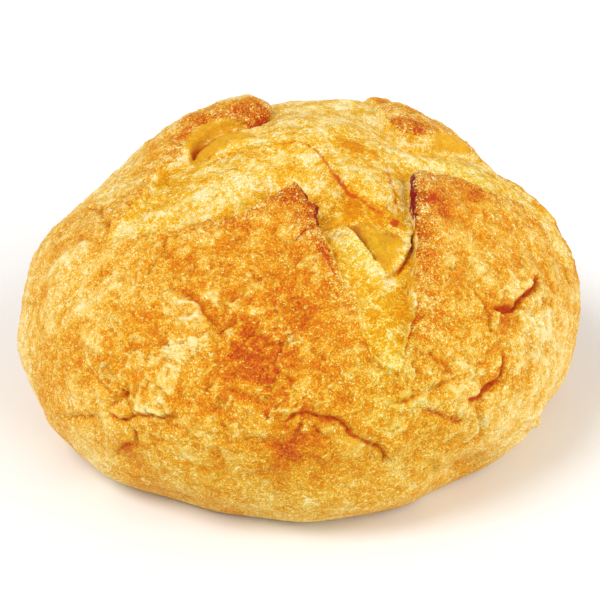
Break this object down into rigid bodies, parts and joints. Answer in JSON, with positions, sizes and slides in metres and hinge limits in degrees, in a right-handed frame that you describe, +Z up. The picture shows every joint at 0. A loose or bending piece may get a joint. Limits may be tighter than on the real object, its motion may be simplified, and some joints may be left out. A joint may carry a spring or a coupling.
{
  "type": "bread loaf",
  "caption": "Round olive oil bread loaf, cut crosswise on top and baked until the crust panels lift, standing on its flat sole.",
  "frame": {"origin": "on the flat sole, under the middle of the loaf's box", "axes": "+Z up, +X along the loaf's longest way across, the front of the loaf faces -Y"},
  "size_m": [0.1892, 0.1733, 0.0987],
  "materials": {
    "baked_crust": "golden baked bread crust, dull with a slight oily sheen, toasted orange brown on its edges and pale yellow where the dough burst"
  },
  "bodies": {
    "root": {"loaf": "baked_crust"}
  },
  "joints": []
}
